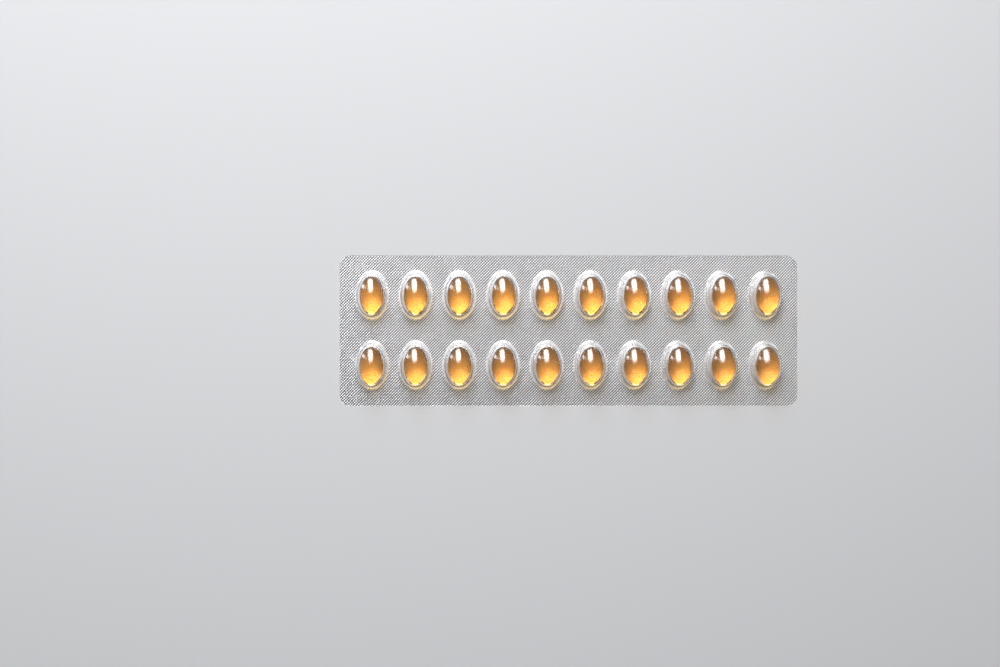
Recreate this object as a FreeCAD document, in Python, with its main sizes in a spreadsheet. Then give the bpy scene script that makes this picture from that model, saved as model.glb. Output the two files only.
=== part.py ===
import FreeCAD, Part
import Sketcher
import math
import os

# A push-through pill blister: a clear thermoformed film with two rows of oval pockets,
# an aluminium foil sealed across its underside, and one oval softgel in each pocket.
# Part frame: X along the card, Y across it, Z up out of the pockets. The origin is the
# middle of the foil's underside, the face that the pack lies on.

# Driving dimensions in millimetres, degrees and counts: alias, value, what it sets.
SIZES = [
    ("columns", 10, "pockets along the card"),
    ("pocket_rows", 2, "rows of pockets across the card"),
    ("column_pitch", 12.5, "from one pocket's centre to the next along a row"),
    ("row_pitch", 20.0, "between the centre lines of the rows"),
    ("end_margin", 9.25, "from the last pocket's centre to the card's short edge"),
    ("side_margin", 11.5, "from a row's centre line to the card's long edge"),
    ("corner_radius", 3.0, "card corners"),
    ("foil_thickness", 0.03, "lidding foil with its seal lacquer"),
    ("film_thickness", 0.25, "clear film where it stayed flat"),
    ("pocket_wall", 0.18, "clear film where forming thinned it"),
    ("side_room", 0.5, "air beside a centred softgel at its widest height"),
    ("end_room", 0.45, "air past a centred softgel's ends at the same height"),
    ("top_room", 0.30, "air above a softgel"),
    ("pocket_draft", 4.0, "lean of the pocket walls, in degrees"),
    ("crown_radius", 5.0, "round of a pocket's top, across"),
    ("shoulder_radius", 3.0, "round between the top and the walls, across"),
    ("flare_radius", 0.7, "round between the walls and the flat film, across"),
    ("softgel_width", 6.9, "round section of a softgel"),
    ("softgel_length", 11.1, "softgel from end to end"),
    ("softgel_end_radius", 2.7, "round of a softgel's ends"),
    ("seam_height", 0.05, "how far the softgel's seam stands proud"),
    ("seam_width", 0.24, "seam across"),
    ("seat_gap", 0.02, "air between a softgel and the foil"),
    ("side_play", 0.24, "most that a softgel has rolled across its pocket"),
    ("end_play", 0.05, "most that a softgel has slid along its pocket"),
    ("turn_play", 0.4, "most that a softgel is turned in its pocket, in degrees"),
]

doc = FreeCAD.newDocument("pill_blister")


def make_sheet():
    """Keeps the driving dimensions under their aliases, one row each."""
    sheet = doc.addObject("Spreadsheet::Sheet", "Sizes")
    for line, (alias, value, note) in enumerate(SIZES, start=1):
        sheet.set(f"A{line}", alias)
        sheet.set(f"B{line}", str(value))
        sheet.set(f"C{line}", note)
        sheet.setAlias(f"B{line}", alias)
    doc.recompute()
    return sheet


sizes = make_sheet()

# Expressions that more than one piece shares.
CARD_LENGTH = "((Sizes.columns - 1) * Sizes.column_pitch + 2 * Sizes.end_margin)"
CARD_WIDTH = "((Sizes.pocket_rows - 1) * Sizes.row_pitch + 2 * Sizes.side_margin)"
FIRST_COLUMN = "(-(Sizes.columns - 1) * Sizes.column_pitch / 2)"
FIRST_ROW = "((Sizes.pocket_rows - 1) * Sizes.row_pitch / 2)"
FILM_TOP = "(Sizes.foil_thickness + Sizes.film_thickness)"
SLANT = "tan(Sizes.pocket_draft * 1 deg)"

# A softgel rests on its seam at worst, so its middle stands this far above the foil.
SOFTGEL_RISE = "(Sizes.seat_gap + Sizes.seam_height + Sizes.softgel_width / 2)"

# The pocket's inside, measured at the film's underside.
CAVITY_HALF_WIDTH = f"(Sizes.softgel_width / 2 + Sizes.side_room + {SOFTGEL_RISE} * {SLANT})"
CAVITY_HALF_LENGTH = f"(Sizes.softgel_length / 2 + Sizes.end_room + {SOFTGEL_RISE} * {SLANT})"
CAVITY_HEIGHT = f"({SOFTGEL_RISE} + Sizes.softgel_width / 2 + Sizes.seam_height + Sizes.top_room)"

# The pocket's outside, measured at the film's upper face.
WALL_STEP = f"(Sizes.pocket_wall / cos(Sizes.pocket_draft * 1 deg) - Sizes.film_thickness * {SLANT})"
POCKET_HALF_WIDTH = f"({CAVITY_HALF_WIDTH} + {WALL_STEP})"
POCKET_HALF_LENGTH = f"({CAVITY_HALF_LENGTH} + {WALL_STEP})"
POCKET_HEIGHT = f"({CAVITY_HEIGHT} + Sizes.pocket_wall - Sizes.film_thickness)"

UPRIGHT = FreeCAD.Placement(FreeCAD.Vector(0, 0, 0), FreeCAD.Rotation(FreeCAD.Vector(1, 0, 0), 90))


def value_of(expression):
    """The present value of an expression over the sheet, as a plain number."""
    found = sizes.evalExpression(expression)
    return float(getattr(found, "Value", found))


def add_sized(sketch, name, constraint, expression):
    """Adds a dimension to a sketch, names it and ties it to the sheet."""
    index = sketch.addConstraint(constraint)
    sketch.renameConstraint(index, name)
    sketch.setExpression(f"Constraints.{name}", expression)


def add_arc(sketch, centre, radius, first, last):
    circle = Part.Circle(centre, FreeCAD.Vector(0, 0, 1), radius)
    return sketch.addGeometry(Part.ArcOfCircle(circle, first, last), False)


def add_line(sketch, start, end):
    return sketch.addGeometry(Part.LineSegment(start, end), False)


def tie(sketch, kind, *where):
    sketch.addConstraint(Sketcher.Constraint(kind, *where))


def draw_card_outline(sketch):
    """A rectangle with four equal round corners, centred on the sketch's origin."""
    half_x = value_of(CARD_LENGTH) / 2
    half_y = value_of(CARD_WIDTH) / 2
    radius = value_of("Sizes.corner_radius")
    arcs = []
    for quarter, (side_x, side_y) in enumerate([(1, 1), (-1, 1), (-1, -1), (1, -1)]):
        centre = FreeCAD.Vector(side_x * (half_x - radius), side_y * (half_y - radius), 0)
        first = quarter * math.pi / 2
        arcs.append(add_arc(sketch, centre, radius, first, first + math.pi / 2))
    edges = []
    for here, arc in enumerate(arcs):
        following = arcs[(here + 1) % 4]
        edges.append(add_line(sketch, sketch.getPoint(arc, 2), sketch.getPoint(following, 1)))
    for here, arc in enumerate(arcs):
        tie(sketch, "Tangent", arc, 2, edges[here], 1)
        tie(sketch, "Tangent", edges[here], 2, arcs[(here + 1) % 4], 1)
    for arc in arcs[1:]:
        tie(sketch, "Equal", arcs[0], arc)
    top, left, bottom, right = edges
    tie(sketch, "Horizontal", top)
    tie(sketch, "Vertical", right)
    tie(sketch, "Symmetric", arcs[0], 3, arcs[2], 3, -1, 1)
    size = Sketcher.Constraint
    add_sized(sketch, "corner", size("Radius", arcs[0], radius), "Sizes.corner_radius")
    add_sized(sketch, "long", size("DistanceX", left, 1, right, 1, 2 * half_x), CARD_LENGTH)
    add_sized(sketch, "wide", size("DistanceY", bottom, 1, top, 1, 2 * half_y), CARD_WIDTH)


def make_plate(name, thickness, base):
    """A flat sheet with the card's outline, whose underside is at the height of base."""
    outline = doc.addObject("Sketcher::SketchObject", f"{name}_outline")
    draw_card_outline(outline)
    outline.setExpression("Placement.Base.z", base)
    plate = doc.addObject("Part::Extrusion", name)
    plate.Base = outline
    plate.DirMode = "Custom"
    plate.Dir = FreeCAD.Vector(0, 0, 1)
    plate.Solid = True
    plate.setExpression("LengthFwd", thickness)
    return plate


def draw_pocket_profile(name, half_width, height, crown, shoulder, flare, drop):
    """Half of a pocket's section across the card, from its middle line outwards.

    Each size is an expression. The wall is placed by where it would meet the flat face if
    there were no flare, and every round is tangent to the next stretch.
    """
    wide, high = value_of(half_width), value_of(height)
    top_round, side_round, foot_round = value_of(crown), value_of(shoulder), value_of(flare)
    below = value_of(drop)
    draft = math.radians(value_of("Sizes.pocket_draft"))
    outward = FreeCAD.Vector(math.cos(draft), math.sin(draft), 0)
    upward = FreeCAD.Vector(-math.sin(draft), math.cos(draft), 0)
    foot = FreeCAD.Vector(wide, 0, 0)

    # The flare's centre is one radius off both the wall and the flat face.
    mouth = wide + foot_round * (1 - math.sin(draft)) / math.cos(draft)
    flare_centre = FreeCAD.Vector(mouth, foot_round, 0)
    wall_foot = flare_centre - outward * foot_round

    # The shoulder's centre is its radius inside the wall, and touches the crown's circle.
    crown_centre = FreeCAD.Vector(0, high - top_round, 0)
    from_crown = foot - outward * side_round - crown_centre
    along = from_crown.dot(upward)
    apart = from_crown.dot(from_crown) - (top_round - side_round) ** 2
    shoulder_centre = foot - outward * side_round + upward * (math.sqrt(along**2 - apart) - along)
    lean = shoulder_centre - crown_centre
    lean_angle = math.atan2(lean.y, lean.x)
    wall_top = shoulder_centre + outward * side_round

    sketch = doc.addObject("Sketcher::SketchObject", name)
    sketch.Placement = UPRIGHT
    under = FreeCAD.Vector(0, -below, 0)
    under_mouth = FreeCAD.Vector(mouth, -below, 0)
    floor = add_line(sketch, under, under_mouth)
    rim = add_line(sketch, under_mouth, FreeCAD.Vector(mouth, 0, 0))
    flare_arc = add_arc(sketch, flare_centre, foot_round, math.pi + draft, 1.5 * math.pi)
    wall = add_line(sketch, wall_foot, wall_top)
    shoulder_arc = add_arc(sketch, shoulder_centre, side_round, draft, lean_angle)
    crown_arc = add_arc(sketch, crown_centre, top_round, lean_angle, math.pi / 2)
    middle = add_line(sketch, FreeCAD.Vector(0, high, 0), under)
    foot_mark = sketch.addGeometry(Part.Point(foot), True)

    tie(sketch, "Horizontal", floor)
    tie(sketch, "Vertical", rim)
    tie(sketch, "Coincident", floor, 2, rim, 1)
    tie(sketch, "Coincident", rim, 2, flare_arc, 2)
    tie(sketch, "PointOnObject", rim, 2, -1)
    tie(sketch, "Vertical", flare_arc, 3, flare_arc, 2)
    tie(sketch, "Tangent", flare_arc, 1, wall, 1)
    tie(sketch, "Tangent", wall, 2, shoulder_arc, 1)
    tie(sketch, "Tangent", shoulder_arc, 2, crown_arc, 1)
    tie(sketch, "PointOnObject", crown_arc, 3, -2)
    tie(sketch, "PointOnObject", crown_arc, 2, -2)
    tie(sketch, "Coincident", crown_arc, 2, middle, 1)
    tie(sketch, "Coincident", middle, 2, floor, 1)
    tie(sketch, "PointOnObject", floor, 1, -2)
    tie(sketch, "PointOnObject", foot_mark, 1, -1)
    tie(sketch, "PointOnObject", foot_mark, 1, wall)
    size = Sketcher.Constraint
    add_sized(sketch, "half_width", size("DistanceX", -1, 1, foot_mark, 1, wide), half_width)
    add_sized(sketch, "height", size("DistanceY", -1, 1, crown_arc, 2, high), height)
    add_sized(sketch, "crown", size("Radius", crown_arc, top_round), crown)
    add_sized(sketch, "shoulder", size("Radius", shoulder_arc, side_round), shoulder)
    add_sized(sketch, "flare", size("Radius", flare_arc, foot_round), flare)
    add_sized(sketch, "drop", size("DistanceY", floor, 1, -1, 1, below), drop)
    add_sized(sketch, "draft", size("Angle", -2, 2, wall, 2, draft), "Sizes.pocket_draft * 1 deg")
    return sketch


def revolve(name, sketch, axis):
    """Turns a half section a full circle about an axis through the origin."""
    turned = doc.addObject("Part::Revolution", name)
    turned.Source = sketch
    turned.Axis = axis
    turned.Angle = 360
    turned.Solid = True
    return turned


def make_pocket_shape(name, half_width, half_length, *section):
    """A round pocket drawn out along the card's width until it is oval."""
    profile = draw_pocket_profile(f"{name}_profile", half_width, *section)
    round_pocket = revolve(f"{name}_round", profile, FreeCAD.Vector(0, 0, 1))
    oval = doc.addObject("Part::Scale", name)
    oval.Base = round_pocket
    oval.Uniform = False
    oval.setExpression("YScale", f"{half_length} / {half_width}")
    return oval


def in_every_pocket(shape, base):
    """Repeats a shape at each pocket's centre, with its own zero at the height of base."""
    copies = []
    for row in range(int(sizes.pocket_rows)):
        for column in range(int(sizes.columns)):
            copy = doc.addObject("App::Link", f"{shape.Name}_{row_letter(row)}{column + 1:02d}")
            copy.LinkedObject = shape
            copy.LinkTransform = False
            copy.setExpression(
                "Placement.Base.x", f"{FIRST_COLUMN} + {column} * Sizes.column_pitch"
            )
            copy.setExpression("Placement.Base.y", f"{FIRST_ROW} - {row} * Sizes.row_pitch")
            copy.setExpression("Placement.Base.z", base)
            copies.append(copy)
    return copies


def row_letter(row):
    return chr(ord("a") + row)


def make_film():
    """The formed film: a flat card with hollow oval pockets standing on it."""
    flat = make_plate("film_flat", "Sizes.film_thickness", "Sizes.foil_thickness")
    outside = make_pocket_shape(
        "pocket_outside", POCKET_HALF_WIDTH, POCKET_HALF_LENGTH, POCKET_HEIGHT,
        "Sizes.crown_radius", "Sizes.shoulder_radius", "Sizes.flare_radius",
        "Sizes.film_thickness",
    )
    inside = make_pocket_shape(
        "pocket_inside", CAVITY_HALF_WIDTH, CAVITY_HALF_LENGTH, CAVITY_HEIGHT,
        "(Sizes.crown_radius - Sizes.pocket_wall)", "(Sizes.shoulder_radius - Sizes.pocket_wall)",
        "(Sizes.flare_radius + Sizes.film_thickness)", "Sizes.film_thickness",
    )
    raised = doc.addObject("Part::MultiFuse", "film_raised")
    raised.Shapes = [flat] + in_every_pocket(outside, FILM_TOP)
    hollows = doc.addObject("Part::Compound", "film_hollows")
    hollows.Links = in_every_pocket(inside, "Sizes.foil_thickness")
    film = doc.addObject("Part::Cut", "blister_film")
    film.Base = raised
    film.Tool = hollows
    return film


def draw_half_oval(name, growth):
    """Half of a softgel's long outline, grown outwards by an expression.

    Each end is an arc of its own radius, and the side is one arc tangent to both.
    """
    grown = value_of(growth)
    half_width = value_of("Sizes.softgel_width") / 2 + grown
    half_length = value_of("Sizes.softgel_length") / 2 + grown
    end_round = value_of("Sizes.softgel_end_radius") + grown
    reach = half_length - end_round
    side_round = (reach**2 + half_width**2 - end_round**2) / (2 * (half_width - end_round))
    side_centre = FreeCAD.Vector(half_width - side_round, 0, 0)
    meet = math.atan2(reach, side_round - half_width)
    quarter_turn = math.pi / 2

    sketch = doc.addObject("Sketcher::SketchObject", name)
    lower = add_arc(sketch, FreeCAD.Vector(0, -reach, 0), end_round, -quarter_turn, -meet)
    side = add_arc(sketch, side_centre, side_round, -meet, meet)
    upper = add_arc(sketch, FreeCAD.Vector(0, reach, 0), end_round, meet, quarter_turn)
    middle = add_line(sketch, FreeCAD.Vector(0, half_length, 0), FreeCAD.Vector(0, -half_length, 0))
    tie(sketch, "Tangent", lower, 2, side, 1)
    tie(sketch, "Tangent", side, 2, upper, 1)
    tie(sketch, "Equal", lower, upper)
    tie(sketch, "PointOnObject", side, 3, -1)
    tie(sketch, "PointOnObject", upper, 3, -2)
    tie(sketch, "PointOnObject", lower, 3, -2)
    tie(sketch, "Coincident", upper, 2, middle, 1)
    tie(sketch, "Coincident", middle, 2, lower, 1)
    tie(sketch, "Vertical", middle)
    tie(sketch, "PointOnObject", middle, 1, -2)
    widest = sketch.addGeometry(Part.Point(FreeCAD.Vector(half_width, 0, 0)), True)
    tie(sketch, "PointOnObject", widest, 1, -1)
    tie(sketch, "PointOnObject", widest, 1, side)
    size = Sketcher.Constraint
    add_sized(sketch, "half_width", size("DistanceX", -1, 1, widest, 1, half_width),
              f"Sizes.softgel_width / 2 + {growth}")
    add_sized(sketch, "half_length", size("DistanceY", -1, 1, upper, 2, half_length),
              f"Sizes.softgel_length / 2 + {growth}")
    add_sized(sketch, "end_round", size("Radius", upper, end_round),
              f"Sizes.softgel_end_radius + {growth}")
    return sketch


def make_softgel_parts():
    """A softgel about its own middle: the filled shell, and its flat seam in two halves."""
    shell = revolve("softgel_shell", draw_half_oval("softgel_outline", "0"), FreeCAD.Vector(0, 1, 0))
    seam = doc.addObject("Part::Extrusion", "softgel_seam")
    seam.Base = draw_half_oval("seam_outline", "Sizes.seam_height")
    seam.DirMode = "Custom"
    seam.Dir = FreeCAD.Vector(0, 0, 1)
    seam.Symmetric = True
    seam.Solid = True
    seam.setExpression("LengthFwd", "Sizes.seam_width")
    other_seam = doc.addObject("Part::Mirroring", "softgel_other_seam")
    other_seam.Source = seam
    other_seam.Normal = FreeCAD.Vector(1, 0, 0)
    return [shell, seam, other_seam]


def how_it_lies(row, column):
    """Where a softgel has come to rest: shares of its play, and the roll of its seam.

    The card was tilted once, so all have rolled to the same side, each by its own share.
    """
    spread = 2.4 * (column + row * int(sizes.columns))
    across = 0.75 + 0.25 * math.sin(spread)
    along = math.cos(1.7 * spread)
    turn = math.sin(2.3 * spread + 1)
    roll = math.degrees(spread) % 180
    return across, along, turn, roll


def make_softgels():
    """One softgel for each pocket, named by its row's letter and its column."""
    parts = make_softgel_parts()
    softgels = []
    for row in range(int(sizes.pocket_rows)):
        for column in range(int(sizes.columns)):
            across, along, turn, roll = how_it_lies(row, column)
            softgel = doc.addObject("Part::MultiFuse", f"softgel_{row_letter(row)}{column + 1:02d}")
            softgel.Shapes = parts
            side = f"{FIRST_COLUMN} + {column} * Sizes.column_pitch + {across:.3f} * Sizes.side_play"
            level = f"{FIRST_ROW} - {row} * Sizes.row_pitch + ({along:.3f}) * Sizes.end_play"
            rise = f"Sizes.foil_thickness + {SOFTGEL_RISE}"
            softgel.setExpression("Placement.Base.x", side)
            softgel.setExpression("Placement.Base.y", level)
            softgel.setExpression("Placement.Base.z", rise)
            softgel.Placement.Rotation = FreeCAD.Rotation(turn * sizes.turn_play, roll, 0)
            softgels.append(softgel)
    return softgels


def make_foil():
    """The lidding foil, sealed flat across the underside of the film."""
    return make_plate("lidding_foil", "Sizes.foil_thickness", "0")


def check_document(nodes):
    """Stops before anything is written if a step failed or a piece isn't a valid solid."""
    for thing in doc.Objects:
        if "Invalid" in thing.State or "Error" in thing.State:
            raise RuntimeError(f"{thing.Label} did not recompute: {thing.State}")
    for node in nodes:
        shape = node.Shape
        if shape.isNull() or not shape.isValid() or len(shape.Solids) != 1:
            raise RuntimeError(f"{node.Label} is not one valid solid")


def export(nodes):
    os.makedirs("parts", exist_ok=True)
    for node in nodes:
        node.Shape.exportStep(f"parts/{node.Label}.step")
        print(f"{node.Label}: {node.Shape.Volume:.2f} mm3")


sub_parts = [make_film(), make_foil()] + make_softgels()
doc.recompute()
check_document(sub_parts)
export(sub_parts)
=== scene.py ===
import math

import bmesh
import bpy
from mathutils import Matrix, Vector


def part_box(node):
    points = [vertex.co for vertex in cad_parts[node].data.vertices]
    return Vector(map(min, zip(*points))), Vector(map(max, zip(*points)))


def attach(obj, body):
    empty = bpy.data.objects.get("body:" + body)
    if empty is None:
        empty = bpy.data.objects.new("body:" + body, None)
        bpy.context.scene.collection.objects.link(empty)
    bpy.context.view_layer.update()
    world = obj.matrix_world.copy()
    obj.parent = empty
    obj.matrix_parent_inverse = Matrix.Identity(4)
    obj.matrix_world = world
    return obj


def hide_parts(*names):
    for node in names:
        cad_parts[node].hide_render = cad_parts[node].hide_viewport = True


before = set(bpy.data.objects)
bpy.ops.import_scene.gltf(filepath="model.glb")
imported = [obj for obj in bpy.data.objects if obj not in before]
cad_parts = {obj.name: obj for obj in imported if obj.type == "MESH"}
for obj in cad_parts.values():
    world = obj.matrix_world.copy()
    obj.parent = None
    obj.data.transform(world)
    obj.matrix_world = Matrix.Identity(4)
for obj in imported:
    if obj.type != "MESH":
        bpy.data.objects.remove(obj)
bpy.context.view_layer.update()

mm = 0.001

# The card's layout, from the model and a few sizes that it doesn't give
filmLow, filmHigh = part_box("blister_film")
card = {
    "halfLong": (filmHigh.x - filmLow.x) / 2,
    "halfWide": (filmHigh.y - filmLow.y) / 2,
    "cornerRadius": 3 * mm,
    "columns": 10,
    "rows": 2,
    "columnPitch": 12.5 * mm,
    "rowPitch": 20 * mm,
    "foilTop": 0.03 * mm,
    "filmTop": 0.28 * mm,
    "cornerSteps": 12,
}


# Short ways to write node trees

def addNode(tree, kind, settings=None, sockets=None):
    node = tree.nodes.new(kind)
    for name, value in (settings or {}).items():
        setattr(node, name, value)
    for name, value in (sockets or {}).items():
        if isinstance(value, bpy.types.NodeSocket):
            tree.links.new(value, node.inputs[name])
        else:
            node.inputs[name].default_value = value
    return node


def calc(tree, operation, *values):
    node = addNode(tree, "ShaderNodeMath", {"operation": operation}, dict(enumerate(values)))
    return node.outputs[0]


def newTree(name, kind, inputs, outputs):
    tree = bpy.data.node_groups.new(name, kind)
    for label, socketKind in inputs:
        tree.interface.new_socket(label, in_out="INPUT", socket_type=socketKind)
    for label, socketKind in outputs:
        tree.interface.new_socket(label, in_out="OUTPUT", socket_type=socketKind)
    return tree, tree.nodes.new("NodeGroupInput").outputs, tree.nodes.new("NodeGroupOutput")


def addShape(piece, tree, values):
    # a modifier's inputs go by the socket's identifier
    modifier = piece.modifiers.new("shape", "NODES")
    modifier.node_group = tree
    names = {item.name: item.identifier for item in tree.interface.items_tree if item.in_out == "INPUT"}
    for label, value in values.items():
        modifier[names[label]] = value


def keepAsMesh(piece):
    bpy.context.view_layer.update()
    finished = piece.evaluated_get(bpy.context.evaluated_depsgraph_get())
    mesh = bpy.data.meshes.new_from_object(finished)
    piece.modifiers.clear()
    piece.data = mesh


def newPiece(name, mesh):
    piece = bpy.data.objects.new(name, mesh)
    bpy.context.scene.collection.objects.link(piece)
    return piece


def meshFrom(name, bm, smooth=True):
    mesh = bpy.data.meshes.new(name)
    for face in bm.faces:
        face.smooth = smooth
    bm.to_mesh(mesh)
    bm.free()
    return mesh


# Shared shader effect: the height of the knurl lattice, from -1 in the valleys to 1 on the peaks

def makeKnurlRelief():
    # Slant above 0 brings out the lattice lines that climb to the right; the foil's painted shade uses
    # this to follow the lamp at the upper left
    tree, take, result = newTree(
        "knurlRelief",
        "ShaderNodeTree",
        [("Vector", "NodeSocketVector"), ("Start", "NodeSocketVector"), ("Step", "NodeSocketVector"),
         ("Slant", "NodeSocketFloat")],
        [("Height", "NodeSocketFloat")],
    )
    fromStart = addNode(tree, "ShaderNodeVectorMath", {"operation": "SUBTRACT"}, {
        0: take["Vector"], 1: take["Start"],
    })
    steps = addNode(tree, "ShaderNodeVectorMath", {"operation": "DIVIDE"}, {
        0: fromStart.outputs[0], 1: take["Step"],
    })
    across, up = addNode(tree, "ShaderNodeSeparateXYZ", {}, {0: steps.outputs[0]}).outputs[:2]
    rising = calc(tree, "COSINE", calc(tree, "MULTIPLY", calc(tree, "SUBTRACT", across, up), math.pi))
    falling = calc(tree, "COSINE", calc(tree, "MULTIPLY", calc(tree, "ADD", across, up), math.pi))
    share = calc(tree, "MULTIPLY", calc(tree, "ADD", take["Slant"], 1.0), 0.5)
    height = addNode(tree, "ShaderNodeMix", {}, {0: share, 2: falling, 3: rising})
    tree.links.new(height.outputs[0], result.inputs["Height"])
    return tree


def knurlAt(tree, knurlRelief, place, slant):
    # the lattice in line with the foil's own cells
    node = addNode(tree, "ShaderNodeGroup", {"node_tree": knurlRelief}, {
        "Vector": place, "Slant": slant,
        "Start": (-card["halfLong"], -card["halfWide"], 0),
        "Step": (2 * card["halfLong"] / foil["columns"], 2 * card["halfWide"] / foil["rows"], 1),
    })
    return node.outputs["Height"]


# Shared ending of the clear materials

def letLampsThrough(tree, glass, look):
    # lamps shine through: clearly where their light meets the surface squarely, dimly where it grazes
    lampRay = addNode(tree, "ShaderNodeLightPath").outputs["Is Shadow Ray"]
    grazing = addNode(tree, "ShaderNodeLayerWeight", {}, {"Blend": 0.5}).outputs["Facing"]
    tint = addNode(tree, "ShaderNodeMix", {"data_type": "RGBA"}, {
        0: calc(tree, "POWER", grazing, look["lampSharpness"]),
        6: look["facingTint"], 7: look["grazingTint"],
    })
    clear = addNode(tree, "ShaderNodeBsdfTransparent", {}, {"Color": tint.outputs[2]})
    mixed = addNode(tree, "ShaderNodeMixShader", {}, {
        0: lampRay, 1: glass.outputs[0], 2: clear.outputs[0],
    })
    tree.links.new(mixed.outputs[0], tree.nodes["Material Output"].inputs["Surface"])


# Lidding foil: a grid with chequered points raised makes diagonal pyramids

foil = {
    "columns": 314,  # grid cells along the card, one lattice step each
    "rows": 103,
    "knurlDepth": 0.09 * mm,
    "windowHalfWidth": 4.65 * mm,  # under a pocket nothing pressed the foil
    "windowHalfLength": 6.75 * mm,
    "windowFade": 0.05,
    "slack": 0.02 * mm,  # soft unevenness of the foil where the film doesn't hold it
    "rippleScale": 320.0,
    "thickness": 0.03 * mm,
}


def makeFoilTree():
    lengths = ["Half Length", "Half Width", "Corner Radius", "Base", "Knurl Depth", "Column Pitch",
               "Row Pitch", "Window Half Width", "Window Half Length", "Window Fade", "Slack",
               "Ripple Scale"]
    inputs = [(label, "NodeSocketFloat") for label in lengths]
    inputs += [("Columns", "NodeSocketInt"), ("Rows", "NodeSocketInt"),
               ("Material", "NodeSocketMaterial")]
    tree, take, result = newTree("knurledFoil", "GeometryNodeTree", inputs,
                                 [("Geometry", "NodeSocketGeometry")])

    def double(value):
        return calc(tree, "MULTIPLY", value, 2.0)

    def squared(value):
        return calc(tree, "POWER", value, 2.0)

    halfX, halfY = take["Half Length"], take["Half Width"]
    sheet = addNode(tree, "GeometryNodeMeshGrid", {}, {
        "Size X": double(halfX), "Size Y": double(halfY),
        "Vertices X": calc(tree, "ADD", take["Columns"], 1.0),
        "Vertices Y": calc(tree, "ADD", take["Rows"], 1.0),
    })
    position = addNode(tree, "GeometryNodeInputPosition").outputs[0]
    x, y = addNode(tree, "ShaderNodeSeparateXYZ", {}, {0: position}).outputs[:2]

    # a point is a peak where its column and row numbers add up to an even number
    def number(along, half, count, edge):
        share = calc(tree, "DIVIDE", calc(tree, "ADD", along, half), double(half))
        return calc(tree, edge, calc(tree, "MULTIPLY", share, count))

    def odd(edge):
        column = number(x, halfX, take["Columns"], edge)
        row = number(y, halfY, take["Rows"], edge)
        return calc(tree, "PINGPONG", calc(tree, "ADD", column, row), 1.0)

    # how far a point is from the middle of the nearest pocket, as a share of the window
    def outward(along, pitch, count, half):
        last = (count - 1) / 2
        place = calc(tree, "DIVIDE", along, pitch)
        whole = calc(tree, "SUBTRACT", calc(tree, "ROUND", calc(tree, "ADD", place, last)), last)
        nearest = calc(tree, "MINIMUM", calc(tree, "MAXIMUM", whole, -last), last)
        offset = calc(tree, "MULTIPLY", calc(tree, "SUBTRACT", place, nearest), pitch)
        return squared(calc(tree, "DIVIDE", offset, half))

    across = outward(x, take["Column Pitch"], card["columns"], take["Window Half Width"])
    along = outward(y, take["Row Pitch"], card["rows"], take["Window Half Length"])
    sealed = addNode(tree, "ShaderNodeMapRange", {"interpolation_type": "SMOOTHSTEP"}, {
        "Value": calc(tree, "SQRT", calc(tree, "ADD", across, along)), 1: 1.0,
        2: calc(tree, "ADD", take["Window Fade"], 1.0),
    }).outputs[0]
    ripple = addNode(tree, "ShaderNodeTexNoise", {}, {"Scale": take["Ripple Scale"], "Detail": 1.0})
    loose = calc(tree, "MULTIPLY", ripple.outputs[0], take["Slack"])
    peak = calc(tree, "MULTIPLY", calc(tree, "SUBTRACT", 1.0, odd("ROUND")), take["Knurl Depth"])
    height = addNode(tree, "ShaderNodeMix", {}, {0: sealed, 2: loose, 3: peak}).outputs[0]
    lift = calc(tree, "ADD", height, take["Base"])

    # corners: cells past the round go, and the new rim is brought onto the arc
    insideX = calc(tree, "SUBTRACT", halfX, take["Corner Radius"])
    insideY = calc(tree, "SUBTRACT", halfY, take["Corner Radius"])
    pastX = calc(tree, "MAXIMUM", calc(tree, "SUBTRACT", calc(tree, "ABSOLUTE", x), insideX), 0.0)
    pastY = calc(tree, "MAXIMUM", calc(tree, "SUBTRACT", calc(tree, "ABSOLUTE", y), insideY), 0.0)
    reach = calc(tree, "SQRT", calc(tree, "ADD", squared(pastX), squared(pastY)))
    marked = addNode(tree, "GeometryNodeStoreNamedAttribute", {}, {
        "Geometry": sheet.outputs["Mesh"], "Name": "sealed", "Value": sealed,
    })
    trimmed = addNode(tree, "GeometryNodeDeleteGeometry", {"domain": "FACE"}, {
        "Geometry": marked.outputs[0],
        "Selection": calc(tree, "GREATER_THAN", reach, take["Corner Radius"]),
    })
    onRim = calc(tree, "LESS_THAN", addNode(tree, "GeometryNodeInputMeshEdgeNeighbors").outputs[0], 1.5)
    inCorner = calc(tree, "GREATER_THAN", calc(tree, "MULTIPLY", pastX, pastY), 0.0)
    grow = calc(tree, "DIVIDE", take["Corner Radius"], calc(tree, "MAXIMUM", reach, 1e-6))
    onArc = []
    for place, inside, past in ((x, insideX, pastX), (y, insideY, pastY)):
        size = calc(tree, "ADD", inside, calc(tree, "MULTIPLY", past, grow))
        onArc.append(calc(tree, "MULTIPLY", size, calc(tree, "SIGN", place)))
    rounded = addNode(tree, "GeometryNodeSetPosition", {}, {
        "Geometry": trimmed.outputs[0], "Selection": calc(tree, "MULTIPLY", onRim, inCorner),
        "Position": addNode(tree, "ShaderNodeCombineXYZ", {}, {0: onArc[0], 1: onArc[1]}).outputs[0],
    })

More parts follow.
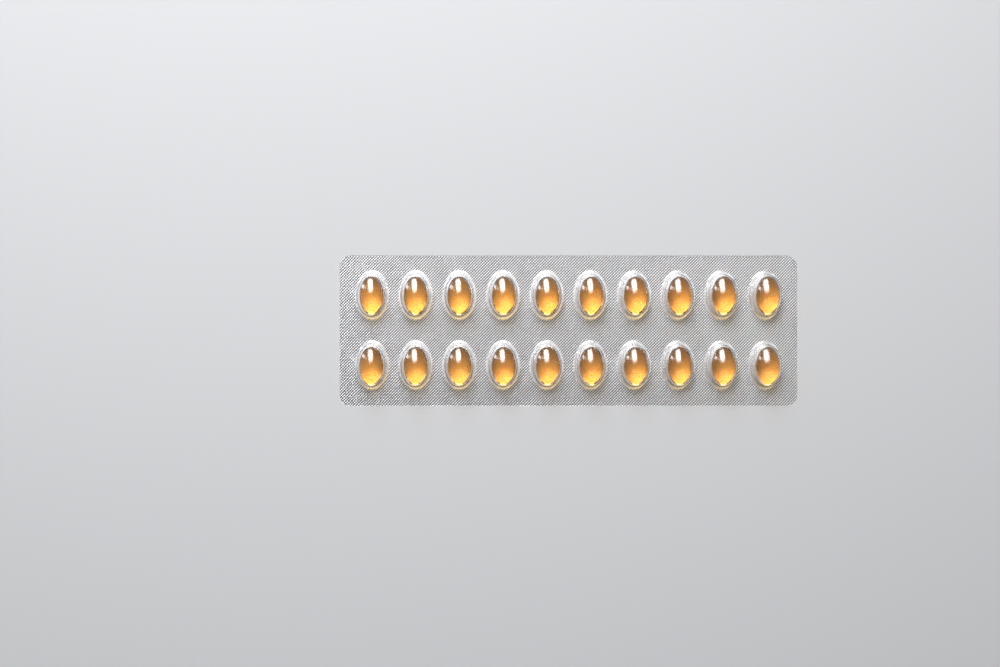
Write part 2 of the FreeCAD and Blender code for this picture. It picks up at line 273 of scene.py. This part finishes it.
    # each cell is split between its two low corners, so that four facets meet at each peak
    firstSplit = addNode(tree, "GeometryNodeTriangulate", {"quad_method": "FIXED"}, {
        "Mesh": rounded.outputs[0], "Selection": odd("FLOOR"),
    })
    secondSplit = addNode(tree, "GeometryNodeTriangulate", {"quad_method": "FIXED_ALTERNATE"},
                          {"Mesh": firstSplit.outputs[0]})
    raised = addNode(tree, "GeometryNodeSetPosition", {}, {
        "Geometry": secondSplit.outputs[0],
        "Offset": addNode(tree, "ShaderNodeCombineXYZ", {}, {2: lift}).outputs[0],
    })
    flat = addNode(tree, "GeometryNodeSetShadeSmooth", {}, {
        "Geometry": raised.outputs[0], "Shade Smooth": False,
    })
    real = addNode(tree, "GeometryNodeRealizeInstances", {}, {0: flat.outputs[0]})
    coated = addNode(tree, "GeometryNodeSetMaterial", {}, {
        0: real.outputs[0], "Material": take["Material"],
    })
    tree.links.new(coated.outputs[0], result.inputs[0])
    return tree


foilLook = {
    # painted shade: the pressed foil's colour is darkened in the knurl's valleys, most along the lines
    # that climb to the right, as the lamp at the upper left shades them
    "valleyPaintedShade": (0.09, 0.088, 0.09, 1),
    "peakColor": (0.86, 0.85, 0.855, 1),
    "looseColor": (0.86, 0.86, 0.87, 1),
    "slant": 0.45,
    "pressedRoughness": (0.36, 0.48),
    "looseRoughness": 0.46,
    "cloudScale": 260.0,  # patches where the pressing left the foil rougher
    "rollLines": (60.0, 2600.0, 400.0),  # fine lines from the rolling, along the card
    "rollBump": 0.08,
    "rollBumpDepth": 0.01 * mm,
}


def makeFoilMaterial(knurlRelief):
    material = bpy.data.materials.new("sealedFoil")
    material.use_nodes = True
    tree = material.node_tree
    metal = tree.nodes["Principled BSDF"]
    place = addNode(tree, "ShaderNodeTexCoord").outputs["Object"]
    drawn = addNode(tree, "ShaderNodeMapping", {}, {"Vector": place, "Scale": foilLook["rollLines"]})
    lines = addNode(tree, "ShaderNodeTexNoise", {}, {
        "Vector": drawn.outputs[0], "Scale": 1.0, "Detail": 4.0,
    })
    clouds = addNode(tree, "ShaderNodeTexNoise", {}, {
        "Vector": place, "Scale": foilLook["cloudScale"], "Detail": 3.0,
    })
    rough = addNode(tree, "ShaderNodeMapRange", {}, {
        0: clouds.outputs[0], 1: 0.3, 2: 0.7,
        3: foilLook["pressedRoughness"][0], 4: foilLook["pressedRoughness"][1],
    })
    sealed = addNode(tree, "ShaderNodeAttribute", {"attribute_name": "sealed"}).outputs["Fac"]
    satin = addNode(tree, "ShaderNodeMix", {}, {
        0: sealed, 2: foilLook["looseRoughness"], 3: rough.outputs[0],
    })
    # painted shade in the foil's colour: dark in the knurl's valleys, full colour on the peaks, slanted
    # after the lamp at the upper left
    height = addNode(tree, "ShaderNodeMapRange", {}, {
        0: knurlAt(tree, knurlRelief, place, foilLook["slant"]), 1: -0.5, 2: 0.5,
    })
    pressed = addNode(tree, "ShaderNodeMix", {"data_type": "RGBA"}, {
        0: height.outputs[0], 6: foilLook["valleyPaintedShade"], 7: foilLook["peakColor"],
    })
    color = addNode(tree, "ShaderNodeMix", {"data_type": "RGBA"}, {
        0: sealed, 6: foilLook["looseColor"], 7: pressed.outputs[2],
    })
    bump = addNode(tree, "ShaderNodeBump", {}, {
        "Strength": foilLook["rollBump"], "Distance": foilLook["rollBumpDepth"],
        "Height": lines.outputs[0],
    })
    tree.links.new(color.outputs[2], metal.inputs["Base Color"])
    metal.inputs["Metallic"].default_value = 1.0
    tree.links.new(satin.outputs[0], metal.inputs["Roughness"])
    tree.links.new(bump.outputs[0], metal.inputs["Normal"])
    return material


def makeFoil(knurlRelief):
    piece = newPiece("knurled_foil", bpy.data.meshes.new("knurled_foil"))
    addShape(piece, makeFoilTree(), {
        "Half Length": card["halfLong"], "Half Width": card["halfWide"],
        "Corner Radius": card["cornerRadius"], "Base": card["foilTop"],
        "Knurl Depth": foil["knurlDepth"], "Column Pitch": card["columnPitch"],
        "Row Pitch": card["rowPitch"], "Window Half Width": foil["windowHalfWidth"],
        "Window Half Length": foil["windowHalfLength"], "Window Fade": foil["windowFade"],
        "Slack": foil["slack"], "Ripple Scale": foil["rippleScale"],
        "Columns": foil["columns"], "Rows": foil["rows"],
        "Material": makeFoilMaterial(knurlRelief),
    })
    thick = piece.modifiers.new("gauge", "SOLIDIFY")
    thick.thickness = foil["thickness"]
    thick.offset = -1
    keepAsMesh(piece)
    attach(piece, "root")
    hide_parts("lidding_foil")
    print("foil:", len(piece.data.polygons), "facets")


# Formed film: one pocket's inner and outer skin, repeated over the card and joined to two flat sheets

film = {
    "underside": card["foilTop"] + foil["knurlDepth"] + 0.005 * mm,  # just clear of the foil's peaks
    "wall": 0.18 * mm,  # formed wall, thinner than the flat film
    "halfWidth": 4.36 * mm,  # pocket wall at the flat film, across
    "halfLength": 6.41 * mm,
    "draft": math.radians(4),
    "crownRound": 5.0 * mm,
    "shoulderRound": 3.0 * mm,
    "flareRound": 0.7 * mm,
    "skirt": 0.12 * mm,  # flat rim of each pocket's own mesh
    "crownSteps": 8,
    "shoulderSteps": 8,
    "wallSteps": 4,
    "flareSteps": 5,
    "around": 64,
    "edgeRound": 0.03 * mm,
    "weldDistance": 0.001 * mm,
}


def pocketSection(halfWidth, height, crown, shoulder, flare):
    # half section from the crown's middle to the mouth, as (distance out, height) pairs
    draft = film["draft"]
    outward = Vector((math.cos(draft), math.sin(draft)))
    upward = Vector((-math.sin(draft), math.cos(draft)))
    mouth = halfWidth + flare * (1 - math.sin(draft)) / math.cos(draft)
    flareCentre = Vector((mouth, flare))
    crownCentre = Vector((0, height - crown))
    base = Vector((halfWidth, 0)) - outward * shoulder
    along = (base - crownCentre).dot(upward)
    apart = (base - crownCentre).length_squared - (crown - shoulder) ** 2
    shoulderCentre = base + upward * (math.sqrt(along**2 - apart) - along)
    lean = shoulderCentre - crownCentre
    leanAngle = math.atan2(lean.y, lean.x)

    def arc(centre, radius, first, last, steps):
        angles = [first + (last - first) * step / steps for step in range(steps + 1)]
        return [centre + radius * Vector((math.cos(angle), math.sin(angle))) for angle in angles]

    points = arc(crownCentre, crown, math.pi / 2, leanAngle, film["crownSteps"])
    points += arc(shoulderCentre, shoulder, leanAngle, draft, film["shoulderSteps"])[1:]
    wallTop, wallFoot = points[-1], flareCentre - outward * flare
    count = film["wallSteps"]
    points += [wallTop.lerp(wallFoot, step / count) for step in range(1, count + 1)]
    points += arc(flareCentre, flare, math.pi + draft, 1.5 * math.pi, film["flareSteps"])[1:]
    points.append(Vector((mouth + film["skirt"], 0)))
    return points


def skinOf(bm, section, base, stretch, facesDown):
    # an oval skin about the z axis; returns its outermost ring
    count = film["around"]
    top = bm.verts.new((0, 0, base + section[0].y))
    inner = None
    for out, height in section[1:]:
        turns = [2 * math.pi * step / count for step in range(count)]
        ring = [bm.verts.new((out * math.cos(turn), stretch * out * math.sin(turn), base + height))
                for turn in turns]
        for step in range(count):
            following = (step + 1) % count
            if inner is None:
                corners = [top, ring[step], ring[following]]
            else:
                corners = [inner[step], ring[step], ring[following], inner[following]]
            bm.faces.new(corners[::-1] if facesDown else corners)
        inner = ring
    return inner


def pocketSkins():
    # sizes of the outer and inner skins: section, height of the flat face, stretch to an oval
    lower = film["underside"]
    gauge = card["filmTop"] - lower
    widen = gauge * math.tan(film["draft"]) - film["wall"] / math.cos(film["draft"])
    top = filmHigh.z
    outer = pocketSection(film["halfWidth"], top - card["filmTop"], film["crownRound"],
                          film["shoulderRound"], film["flareRound"])
    inner = pocketSection(film["halfWidth"] + widen, top - film["wall"] - lower,
                          film["crownRound"] - film["wall"], film["shoulderRound"] - film["wall"],
                          film["flareRound"] + gauge)
    return [
        (outer, card["filmTop"], film["halfLength"] / film["halfWidth"]),
        (inner, lower, (film["halfLength"] + widen) / (film["halfWidth"] + widen)),
    ]


def pocketMiddles():
    places = []
    for row in range(card["rows"]):
        for column in range(card["columns"]):
            x = (column - (card["columns"] - 1) / 2) * card["columnPitch"]
            y = ((card["rows"] - 1) / 2 - row) * card["rowPitch"]
            places.append(Vector((x, y, 0)))
    return places


def cardOutline(shrink):
    # the card's edge, brought in by shrink, anticlockwise
    radius = card["cornerRadius"] - shrink
    midX = card["halfLong"] - card["cornerRadius"]
    midY = card["halfWide"] - card["cornerRadius"]
    points = []
    for quarter, (sideX, sideY) in enumerate([(1, 1), (-1, 1), (-1, -1), (1, -1)]):
        for step in range(card["cornerSteps"] + 1):
            angle = (quarter + step / card["cornerSteps"]) * math.pi / 2
            x = sideX * midX + radius * math.cos(angle)
            y = sideY * midY + radius * math.sin(angle)
            points.append((x, y))
    return points


def flatSheet(bm, height, ring, outline, facesDown):
    # the flat film at one height, with a hole at each pocket; returns its outer edge
    loops = [[bm.verts.new((x, y, height)) for x, y in outline]]
    for middle in pocketMiddles():
        loops.append([bm.verts.new((middle.x + x, middle.y + y, height)) for x, y in ring])
    edges = [bm.edges.new((loop[step - 1], loop[step])) for loop in loops for step in range(len(loop))]
    made = bmesh.ops.triangle_fill(
        bm, use_beauty=True, use_dissolve=False, edges=edges, normal=(0, 0, 1))
    for item in made["geom"]:
        if isinstance(item, bmesh.types.BMFace):
            item.normal_update()
            if (item.normal.z < 0) != facesDown:
                item.normal_flip()
    return loops[0]


def makeFilmTree():
    inputs = [("Geometry", "NodeSocketGeometry"), ("Pocket", "NodeSocketObject"),
              ("Columns", "NodeSocketInt"), ("Rows", "NodeSocketInt"),
              ("Column Pitch", "NodeSocketFloat"), ("Row Pitch", "NodeSocketFloat"),
              ("Material", "NodeSocketMaterial")]
    tree, take, result = newTree("formedFilm", "GeometryNodeTree", inputs,
                                 [("Geometry", "NodeSocketGeometry")])
    sizes = []
    for pitch, count in (("Column Pitch", "Columns"), ("Row Pitch", "Rows")):
        sizes.append(calc(tree, "MULTIPLY", take[pitch], calc(tree, "SUBTRACT", take[count], 1.0)))
    middles = addNode(tree, "GeometryNodeMeshGrid", {}, {
        "Size X": sizes[0], "Size Y": sizes[1],
        "Vertices X": take["Columns"], "Vertices Y": take["Rows"],
    })
    pocket = addNode(tree, "GeometryNodeObjectInfo", {}, {"Object": take["Pocket"]})
    pockets = addNode(tree, "GeometryNodeInstanceOnPoints", {}, {
        "Points": middles.outputs[0], "Instance": pocket.outputs["Geometry"],
    })
    real = addNode(tree, "GeometryNodeRealizeInstances", {}, {0: pockets.outputs[0]})
    joined = addNode(tree, "GeometryNodeJoinGeometry", {}, {0: real.outputs[0]})
    tree.links.new(take["Geometry"], joined.inputs[0])
    welded = addNode(tree, "GeometryNodeMergeByDistance", {}, {
        "Geometry": joined.outputs[0], "Distance": film["weldDistance"],
    })
    coated = addNode(tree, "GeometryNodeSetMaterial", {}, {
        0: welded.outputs[0], "Material": take["Material"],
    })
    tree.links.new(coated.outputs[0], result.inputs[0])
    return tree


filmLook = {
    "tint": (0.985, 0.985, 0.99, 1),
    "wallPaintedShade": (0.20, 0.17, 0.23, 1),  # painted shade: the film's colour is darkened where the wall is seen edge on
    "facingTint": (0.96, 0.965, 0.97, 1),
    "grazingTint": (0.5, 0.48, 0.52, 1),
    "edgeSharpness": 4.0,  # higher keeps the painted shade closer to where a face is seen edge on
    "lampSharpness": 1.5,
    "roughness": 0.03,
    "wallRoughness": 0.16,
    "wallFacing": (0.55, 0.9),  # from where on a face counts as wall, 1 being edge on
    "ior": 1.53,
    "gloss": 0.8,
    "knurlBump": 0.25,
    "knurlBumpDepth": 0.02 * mm,
    "knurlEnds": 0.1 * mm,  # above the flat film
    "formingScale": 420.0,
    "formingBump": 0.06,
    "formingBumpDepth": 0.05 * mm,
}


def makeFilmMaterial(knurlRelief):
    material = bpy.data.materials.new("clearFilm")
    material.use_nodes = True
    tree = material.node_tree
    glass = tree.nodes["Principled BSDF"]
    place = addNode(tree, "ShaderNodeTexCoord").outputs["Object"]
    height = addNode(tree, "ShaderNodeSeparateXYZ", {}, {0: place}).outputs["Z"]
    flat = addNode(tree, "ShaderNodeMapRange", {}, {
        0: height, 1: card["filmTop"], 2: card["filmTop"] + filmLook["knurlEnds"], 3: 1.0, 4: 0.0,
    })
    knurl = knurlAt(tree, knurlRelief, place, 0.0)
    pressed = addNode(tree, "ShaderNodeBump", {}, {
        "Strength": filmLook["knurlBump"], "Distance": filmLook["knurlBumpDepth"],
        "Height": calc(tree, "MULTIPLY", knurl, flat.outputs[0]),
    })
    uneven = addNode(tree, "ShaderNodeTexNoise", {}, {
        "Vector": place, "Scale": filmLook["formingScale"], "Detail": 3.0,
    })
    formed = addNode(tree, "ShaderNodeBump", {}, {
        "Strength": filmLook["formingBump"], "Distance": filmLook["formingBumpDepth"],
        "Height": uneven.outputs[0], "Normal": pressed.outputs[0],
    })
    # painted shade: the film's base colour darkens where a face is seen edge on, drawing dark outlines
    # along the pocket walls
    alongWall = addNode(tree, "ShaderNodeLayerWeight", {}, {"Blend": 0.5}).outputs["Facing"]
    tint = addNode(tree, "ShaderNodeMix", {"data_type": "RGBA"}, {
        0: calc(tree, "POWER", alongWall, filmLook["edgeSharpness"]),
        6: filmLook["tint"], 7: filmLook["wallPaintedShade"],
    })
    tree.links.new(tint.outputs[2], glass.inputs["Base Color"])
    satin = addNode(tree, "ShaderNodeMapRange", {}, {
        0: alongWall, 1: filmLook["wallFacing"][0], 2: filmLook["wallFacing"][1],
        3: filmLook["roughness"], 4: filmLook["wallRoughness"],
    })
    tree.links.new(satin.outputs[0], glass.inputs["Roughness"])
    glass.inputs["IOR"].default_value = filmLook["ior"]
    glass.inputs["Transmission Weight"].default_value = 1.0
    glass.inputs["Coat Weight"].default_value = filmLook["gloss"]
    glass.inputs["Coat Roughness"].default_value = filmLook["roughness"]
    tree.links.new(formed.outputs[0], glass.inputs["Normal"])
    letLampsThrough(tree, glass, filmLook)
    return material


def makeFilm(knurlRelief):
    pocketMesh = bmesh.new()
    flats = bmesh.new()
    edge = film["edgeRound"]
    rims = []
    for (section, height, stretch), facesDown in zip(pocketSkins(), (False, True)):
        ring = skinOf(pocketMesh, section, height, stretch, facesDown)
        ringPlaces = [(vert.co.x, vert.co.y) for vert in ring]
        rims.append(flatSheet(flats, height, ringPlaces, cardOutline(edge), facesDown))
    upper = [flats.verts.new((x, y, card["filmTop"] - edge)) for x, y in cardOutline(0)]
    lower = [flats.verts.new((x, y, film["underside"] + edge)) for x, y in cardOutline(0)]
    loops = [rims[0], upper, lower, rims[1]]
    for high, low in zip(loops, loops[1:]):
        for step in range(len(high)):
            flats.faces.new((high[step - 1], low[step - 1], low[step], high[step]))
    pocket = newPiece("pocketPattern", meshFrom("pocketPattern", pocketMesh))
    piece = newPiece("formed_film", meshFrom("formed_film", flats, smooth=False))
    addShape(piece, makeFilmTree(), {
        "Pocket": pocket, "Columns": card["columns"], "Rows": card["rows"],
        "Column Pitch": card["columnPitch"], "Row Pitch": card["rowPitch"],
        "Material": makeFilmMaterial(knurlRelief),
    })
    keepAsMesh(piece)
    bpy.data.objects.remove(pocket)
    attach(piece, "root")
    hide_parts("blister_film")
    print("film:", len(piece.data.polygons), "faces")


# Softgels: an oval turned about its long axis, with a soft seam all round it lengthwise

softgel = {
    "halfWidth": 3.45 * mm,
    "halfLength": 5.55 * mm,
    "endRound": 2.7 * mm,
    "seamHeight": 0.05 * mm,
    "seamHalfWidth": 0.2 * mm,
    "turnPlay": 0.4,  # degrees
    "along": 40,
    "around": 96,
}


def softgelOutline():
    # (distance from the long axis, place along it) from one end to the other
    reach = softgel["halfLength"] - softgel["endRound"]
    wide, end = softgel["halfWidth"], softgel["endRound"]
    side = (reach**2 + wide**2 - end**2) / (2 * (wide - end))
    meet = math.atan2(reach, side - wide)
    points = []
    for step in range(softgel["along"] + 1):
        angle = math.pi * (step / softgel["along"] - 0.5)
        if abs(angle) > meet:
            points.append((end * math.cos(angle), math.copysign(reach, angle) + end * math.sin(angle)))
        else:
            points.append((side * math.cos(angle) - side + wide, side * math.sin(angle)))
    return points


def howItLies(row, column):
    # the same rule as in the part's source, for the turn and the seam's roll
    spread = 2.4 * (column + row * card["columns"])
    turn = math.sin(2.3 * spread + 1) * softgel["turnPlay"]
    return math.radians(turn), spread % math.pi


def softgelMesh(name, middle, turn, roll):
    bm = bmesh.new()
    rings = []
    for out, along in softgelOutline()[1:-1]:
        ring = []
        for step in range(softgel["around"]):
            angle = 2 * math.pi * step / softgel["around"]
            offSeam = out * math.sin(angle) / softgel["seamHalfWidth"]
            size = out + softgel["seamHeight"] * math.exp(-offSeam**2)
            ring.append(bm.verts.new((size * math.cos(angle), along, size * math.sin(angle))))
        rings.append(ring)
    tip = softgel["halfLength"] + softgel["seamHeight"]
    ends = [bm.verts.new((0, side * tip, 0)) for side in (-1, 1)]
    count = softgel["around"]
    for step in range(count):
        following = (step + 1) % count
        bm.faces.new((ends[0], rings[0][step], rings[0][following]))
        bm.faces.new((ends[1], rings[-1][following], rings[-1][step]))
        for near, far in zip(rings, rings[1:]):
            bm.faces.new((near[step], far[step], far[following], near[following]))
    bmesh.ops.recalc_face_normals(bm, faces=bm.faces)
    lie = Matrix.Translation(middle) @ Matrix.Rotation(turn, 4, "Z") @ Matrix.Rotation(roll, 4, "Y")
    bmesh.ops.transform(bm, matrix=lie, verts=bm.verts)
    return meshFrom(name, bm)


softgelLook = {
    "deep": (0.71, 0.375, 0.10, 1),
    "pale": (0.80, 0.50, 0.17, 1),
    "gloss": 0.8,
    "facingTint": (1.12, 0.97, 0.62, 1),  # red above 1, as the softgel gathers light like a lens
    "grazingTint": (0.45, 0.28, 0.14, 1),
    "lampSharpness": 3.0,
    "cloudScale": 150.0,
    "dimpleScale": 900.0,
    "dimpleBump": 0.05,
    "dimpleDepth": 0.03 * mm,
    "roughness": 0.02,
    "ior": 1.43,
}


def makeSoftgelMaterial():
    material = bpy.data.materials.new("amberGel")
    material.use_nodes = True
    tree = material.node_tree
    gel = tree.nodes["Principled BSDF"]
    place = addNode(tree, "ShaderNodeTexCoord").outputs["Object"]
    cloud = addNode(tree, "ShaderNodeTexNoise", {}, {
        "Vector": place, "Scale": softgelLook["cloudScale"], "Detail": 2.0,
    })
    color = addNode(tree, "ShaderNodeMix", {"data_type": "RGBA"}, {
        0: cloud.outputs[0], 6: softgelLook["deep"], 7: softgelLook["pale"],
    })
    dimples = addNode(tree, "ShaderNodeTexNoise", {}, {
        "Vector": place, "Scale": softgelLook["dimpleScale"], "Detail": 2.0,
    })
    bump = addNode(tree, "ShaderNodeBump", {}, {
        "Strength": softgelLook["dimpleBump"], "Distance": softgelLook["dimpleDepth"],
        "Height": dimples.outputs[0],
    })
    tree.links.new(color.outputs[2], gel.inputs["Base Color"])
    tree.links.new(bump.outputs[0], gel.inputs["Normal"])
    gel.inputs["Roughness"].default_value = softgelLook["roughness"]
    gel.inputs["IOR"].default_value = softgelLook["ior"]
    gel.inputs["Transmission Weight"].default_value = 1.0
    gel.inputs["Coat Weight"].default_value = softgelLook["gloss"]
    gel.inputs["Coat Roughness"].default_value = softgelLook["roughness"]
    letLampsThrough(tree, gel, softgelLook)
    return material


def makeSoftgels():
    material = makeSoftgelMaterial()
    for row in range(card["rows"]):
        for column in range(card["columns"]):
            label = f"{'ab'[row]}{column + 1:02d}"
            low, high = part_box(f"softgel_{label}")
            turn, roll = howItLies(row, column)
            name = f"amber_gel_{label}"
            piece = newPiece(name, softgelMesh(name, (low + high) / 2, turn, roll))
            piece.data.materials.append(material)
            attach(piece, "root")
            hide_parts(f"softgel_{label}")
    print("softgels:", card["rows"] * card["columns"])


# Floor, light and camera

studio = {
    "floorColor": (0.68, 0.685, 0.70, 1),
    "floorSize": 1.6,
    "floorRoughness": 0.9,
    "grainScale": 900.0,
    "grainBump": 0.15,
    "grainDepth": 0.05 * mm,
    "softboxFrom": (-0.08, 0.40, 0.44),
    "softboxSize": (0.50, 0.94),
    "softboxPower": 10.5,
    "softboxFade": 0.7,
    "fillFrom": (-0.54, 0.28, 0.27),
    "fillSize": (0.16, 0.42),
    "fillPower": 0.9,
    "fillFade": 0.5,
    "worldColor": (0.95, 0.97, 1.0, 1),
    "worldLevel": 0.2,
    "cameraPlace": (-19.6 * mm, -0.8 * mm, 398 * mm),
    "lens": 50,
    "clip": (0.01, 10),
}


def makeFloor():
    bm = bmesh.new()
    bmesh.ops.create_grid(bm, x_segments=8, y_segments=8, size=studio["floorSize"] / 2)
    floor = newPiece("floor", meshFrom("floor", bm, smooth=False))
    material = bpy.data.materials.new("paleFloor")
    material.use_nodes = True
    tree = material.node_tree
    paper = tree.nodes["Principled BSDF"]
    place = addNode(tree, "ShaderNodeTexCoord").outputs["Object"]
    grain = addNode(tree, "ShaderNodeTexNoise", {}, {
        "Vector": place, "Scale": studio["grainScale"], "Detail": 3.0,
    })
    bump = addNode(tree, "ShaderNodeBump", {}, {
        "Strength": studio["grainBump"], "Distance": studio["grainDepth"],
        "Height": grain.outputs[0],
    })
    paper.inputs["Base Color"].default_value = studio["floorColor"]
    paper.inputs["Roughness"].default_value = studio["floorRoughness"]
    tree.links.new(bump.outputs[0], paper.inputs["Normal"])
    floor.data.materials.append(material)


def addSoftbox(name, place, size, power, fade):
    # a panel lamp, brightest in the middle, that fades out over a share of its half width
    lamp = bpy.data.lights.new(name, "AREA")
    lamp.shape = "RECTANGLE"
    lamp.size, lamp.size_y = size
    lamp.energy = power
    holder = newPiece(name, lamp)
    holder.location = place
    holder.rotation_euler = (-Vector(place)).to_track_quat("-Z", "Y").to_euler()
    lamp.use_nodes = True
    tree = lamp.node_tree
    spot = addNode(tree, "ShaderNodeNewGeometry").outputs["Position"]
    turn = holder.rotation_euler.to_matrix()
    shares = []
    for axis, length in zip((turn.col[0], turn.col[1]), size):
        along = addNode(tree, "ShaderNodeVectorMath", {"operation": "DOT_PRODUCT"}, {0: spot, 1: axis})
        fromMiddle = calc(tree, "SUBTRACT", along.outputs["Value"], axis.dot(Vector(place)))
        share = addNode(tree, "ShaderNodeMapRange", {"interpolation_type": "SMOOTHSTEP"}, {
            "Value": calc(tree, "ABSOLUTE", fromMiddle),
            1: length / 2 * (1 - fade), 2: length / 2, 3: 1.0, 4: 0.0,
        })
        shares.append(share.outputs[0])
    tree.links.new(calc(tree, "MULTIPLY", *shares), tree.nodes["Emission"].inputs["Strength"])


def makeStudio():
    makeFloor()
    addSoftbox("softbox", studio["softboxFrom"], studio["softboxSize"], studio["softboxPower"],
               studio["softboxFade"])
    addSoftbox("fill", studio["fillFrom"], studio["fillSize"], studio["fillPower"], studio["fillFade"])
    world = bpy.data.worlds.new("room")
    world.use_nodes = True
    background = world.node_tree.nodes["Background"]
    background.inputs["Color"].default_value = studio["worldColor"]
    background.inputs["Strength"].default_value = studio["worldLevel"]
    bpy.context.scene.world = world
    lens = bpy.data.cameras.new("camera")
    lens.lens = studio["lens"]
    lens.clip_start, lens.clip_end = studio["clip"]
    camera = newPiece("camera", lens)
    camera.location = studio["cameraPlace"]
    bpy.context.scene.camera = camera
    bpy.context.scene.view_settings.view_transform = "Standard"
    print("studio ready")


knurlRelief = makeKnurlRelief()
makeFoil(knurlRelief)
makeFilm(knurlRelief)
makeSoftgels()
makeStudio()
